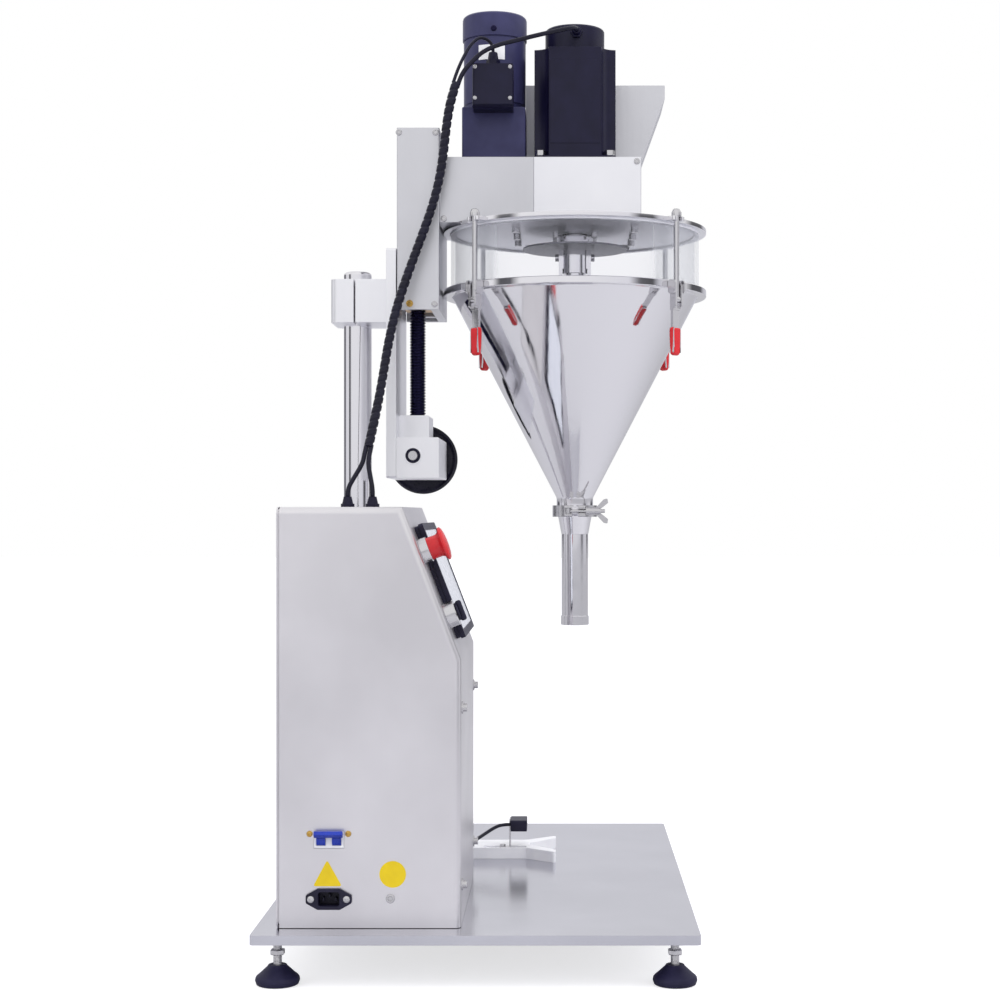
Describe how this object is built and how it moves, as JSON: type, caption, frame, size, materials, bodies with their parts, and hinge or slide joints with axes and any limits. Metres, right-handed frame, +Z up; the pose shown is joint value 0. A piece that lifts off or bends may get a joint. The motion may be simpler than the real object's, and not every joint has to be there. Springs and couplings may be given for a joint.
{
  "type": "auger powder filler",
  "caption": "Bench auger powder filler: crank-lifted head with hopper, agitator, feed chute and filling nozzle, beside a control cabinet on a levelled base.",
  "frame": {"origin": "on the floor plane, under the middle of the machine's bounding box", "axes": "+Z up, operator at -Y, +X to the operator's right, so the cabinet is at -X"},
  "size_m": [0.75, 0.544, 1.2186],
  "materials": {
    "brushed_stainless": "brushed",
    "polished_steel": "mirror polished",
    "steel_bright": "bright turned",
    "chrome_ring": "chromed",
    "anodised": "clear anodised",
    "aluminium_pulley": "turned",
    "bronze": "turned",
    "black_oxide": "black oxide",
    "motor_paint": "satin paint",
    "motor_dark": "satin paint",
    "black_nylon": "moulded",
    "black_plastic": "moulded",
    "dark_plastic": "moulded",
    "grey_plastic": "moulded",
    "white_plastic": "moulded",
    "white_nylon": "machined",
    "red_plastic": "moulded",
    "blue_plastic": "moulded",
    "screen_glass": "gloss",
    "acrylic": "clear",
    "foot_rubber": "moulded",
    "belt_rubber": "moulded",
    "cable_sheath": "extruded"
  },
  "bodies": {
    "frame": {"base_plate": "brushed_stainless", "frame_screws": "steel_bright", "cabinet_shell": "brushed_stainless", "cabinet_rear_cover": "brushed_stainless", "cable_glands": "black_nylon", "control_modules": "grey_plastic", "touch_panel_case": "dark_plastic", "touch_panel_screen": "screen_glass", "button_collars": "chrome_ring", "breaker_body": "white_plastic", "power_inlet": "dark_plastic", "column": "polished_steel", "column_clamp": "anodised", "lift_back_plate": "anodised", "lift_gearbox": "anodised", "bag_fork": "white_nylon", "motor_cables": "cable_sheath", "sensor_cable": "cable_sheath"},
    "wheel": {"handwheel": "black_plastic", "cross_shaft": "steel_bright"},
    "grip": {"crank_grip": "black_plastic"},
    "screw": {"lead_screw": "black_oxide"},
    "head": {"carriage": "brushed_stainless", "guide_rails": "steel_bright", "lift_nut": "bronze", "head_housing": "brushed_stainless", "gear_motor": "motor_paint", "terminal_box": "motor_dark", "auger_motor": "motor_dark", "head_screws": "steel_bright", "hopper_lid": "polished_steel", "hopper_ring": "acrylic", "hopper_cone": "polished_steel", "nozzle_tube": "polished_steel", "outlet_clamp": "steel_bright", "feed_chute": "polished_steel", "drive_belt": "belt_rubber", "clasp_brackets": "steel_bright"},
    "auger": {"auger_screw": "polished_steel"},
    "agitator": {"agitator": "polished_steel"},
    "pulley": {"motor_pulley": "aluminium_pulley"},
    "bolt": {"swing_bolt": "steel_bright"},
    "nut": {"wing_nut": "steel_bright"},
    "estop": {"estop_button": "red_plastic"},
    "selector": {"selector_knob": "dark_plastic"},
    "breaker": {"breaker_toggle": "blue_plastic"},
    "sensor": {"sensor_bracket": "steel_bright", "photo_sensor": "dark_plastic"},
    "foot_front_left": {"foot_front_left": "foot_rubber"},
    "foot_front_right": {"foot_front_right": "foot_rubber"},
    "foot_rear_left": {"foot_rear_left": "foot_rubber"},
    "foot_rear_right": {"foot_rear_right": "foot_rubber"},
    "lever_1": {"clasp_lever_1": "steel_bright"},
    "rod_1": {"clasp_rod_1": "steel_bright"},
    "lever_2": {"clasp_lever_2": "steel_bright"},
    "rod_2": {"clasp_rod_2": "steel_bright"},
    "lever_3": {"clasp_lever_3": "steel_bright"},
    "rod_3": {"clasp_rod_3": "steel_bright"},
    "lever_4": {"clasp_lever_4": "steel_bright"},
    "rod_4": {"clasp_rod_4": "steel_bright"}
  },
  "joints": [
    {"name": "wheel_turn", "type": "hinge", "parent": "frame", "child": "wheel", "pos_m": [0.129, 0.1238, 0.6036], "axis": [1, 0, 0], "range_deg": [-12160, 1090]},
    {"name": "screw_turn", "type": "hinge", "parent": "frame", "child": "screw", "pos_m": [0.129, 0.1238, 0.6036], "axis": [0, 0, 1], "range_deg": [-1090, 12160]},
    {"name": "head_lift", "type": "slide", "parent": "frame", "child": "head", "axis": [0, 0, 1], "range_m": [-0.135, 0.012], "deforming": ["motor_cables"]},
    {"name": "grip_spin", "type": "hinge", "parent": "wheel", "child": "grip", "pos_m": [0.222, 0.1598, 0.6036], "axis": [1, 0, 0], "continuous": true},
    {"name": "auger_spin", "type": "hinge", "parent": "head", "child": "auger", "pos_m": [0.129, -0.092, 0.7], "axis": [0, 0, 1], "continuous": true},
    {"name": "agitator_spin", "type": "hinge", "parent": "head", "child": "agitator", "pos_m": [0.129, -0.092, 0.9], "axis": [0, 0, 1], "continuous": true},
    {"name": "pulley_spin", "type": "hinge", "parent": "head", "child": "pulley", "pos_m": [0.129, 0.018, 0.95], "axis": [0, 0, 1], "continuous": true},
    {"name": "clasp_lever_1", "type": "hinge", "parent": "head", "child": "lever_1", "pos_m": [0.26052, 0.03952, 0.822], "axis": [0.7071, -0.7071, 0], "range_deg": [0, 95]},
    {"name": "clasp_rod_1", "type": "hinge", "parent": "lever_1", "child": "rod_1", "pos_m": [0.26052, 0.03952, 0.806], "axis": [0.7071, -0.7071, 0], "range_deg": [-95.5, 0.5]},
    {"name": "clasp_lever_2", "type": "hinge", "parent": "head", "child": "lever_2", "pos_m": [-0.00252, 0.03952, 0.822], "axis": [0.7071, 0.7071, 0], "range_deg": [0, 95]},
    {"name": "clasp_rod_2", "type": "hinge", "parent": "lever_2", "child": "rod_2", "pos_m": [-0.00252, 0.03952, 0.806], "axis": [0.7071, 0.7071, 0], "range_deg": [-95.5, 0.5]},
    {"name": "clasp_lever_3", "type": "hinge", "parent": "head", "child": "lever_3", "pos_m": [-0.00252, -0.22352, 0.822], "axis": [-0.7071, 0.7071, 0], "range_deg": [0, 95]},
    {"name": "clasp_rod_3", "type": "hinge", "parent": "lever_3", "child": "rod_3", "pos_m": [-0.00252, -0.22352, 0.806], "axis": [-0.7071, 0.7071, 0], "range_deg": [-95.5, 0.5]},
    {"name": "clasp_lever_4", "type": "hinge", "parent": "head", "child": "lever_4", "pos_m": [0.26052, -0.22352, 0.822], "axis": [-0.7071, -0.7071, 0], "range_deg": [0, 95]},
    {"name": "clasp_rod_4", "type": "hinge", "parent": "lever_4", "child": "rod_4", "pos_m": [0.26052, -0.22352, 0.806], "axis": [-0.7071, -0.7071, 0], "range_deg": [-95.5, 0.5]},
    {"name": "bolt_swing", "type": "hinge", "parent": "head", "child": "bolt", "pos_m": [0.0923, -0.0825, 0.53], "axis": [0, 0, -1], "range_deg": [0, 90]},
    {"name": "wing_nut_spin", "type": "hinge", "parent": "bolt", "child": "nut", "pos_m": [0.0923, -0.1125, 0.53], "axis": [0, 1, 0], "continuous": true},
    {"name": "estop_press", "type": "slide", "parent": "frame", "child": "estop", "axis": [0, -0.9331, 0.3597], "range_m": [-0.005, 0]},
    {"name": "selector_turn", "type": "hinge", "parent": "frame", "child": "selector", "pos_m": [-0.312, 0.0533, 0.4117], "axis": [0, -0.9331, 0.3597], "range_deg": [-45, 45]},
    {"name": "breaker_flip", "type": "hinge", "parent": "frame", "child": "breaker", "pos_m": [-0.337, 0.188, 0.16], "axis": [0, 1, 0], "range_deg": [-80, 0]},
    {"name": "sensor_slide", "type": "slide", "parent": "frame", "child": "sensor", "axis": [0, 1, 0], "range_m": [-0.018, 0.018], "deforming": ["sensor_cable"]},
    {"name": "foot_front_left_turn_out", "type": "slide", "parent": "frame", "child": "foot_front_left", "axis": [0, 0, 1], "range_m": [-0.005, 0]},
    {"name": "foot_front_right_turn_out", "type": "slide", "parent": "frame", "child": "foot_front_right", "axis": [0, 0, 1], "range_m": [-0.005, 0]},
    {"name": "foot_rear_left_turn_out", "type": "slide", "parent": "frame", "child": "foot_rear_left", "axis": [0, 0, 1], "range_m": [-0.005, 0]},
    {"name": "foot_rear_right_turn_out", "type": "slide", "parent": "frame", "child": "foot_rear_right", "axis": [0, 0, 1], "range_m": [-0.005, 0]}
  ],
  "couplings": [
    {"joint": "wheel_turn", "follows": "head_lift", "rad_per_m": 1570.8},
    {"joint": "screw_turn", "follows": "head_lift", "rad_per_m": -1570.8},
    {"joint": "pulley_spin", "follows": "agitator_spin", "ratio": 1.5714},
    {"joint": "clasp_rod_1", "follows": "clasp_lever_1", "ratio": -1},
    {"joint": "clasp_rod_2", "follows": "clasp_lever_2", "ratio": -1},
    {"joint": "clasp_rod_3", "follows": "clasp_lever_3", "ratio": -1},
    {"joint": "clasp_rod_4", "follows": "clasp_lever_4", "ratio": -1}
  ]
}
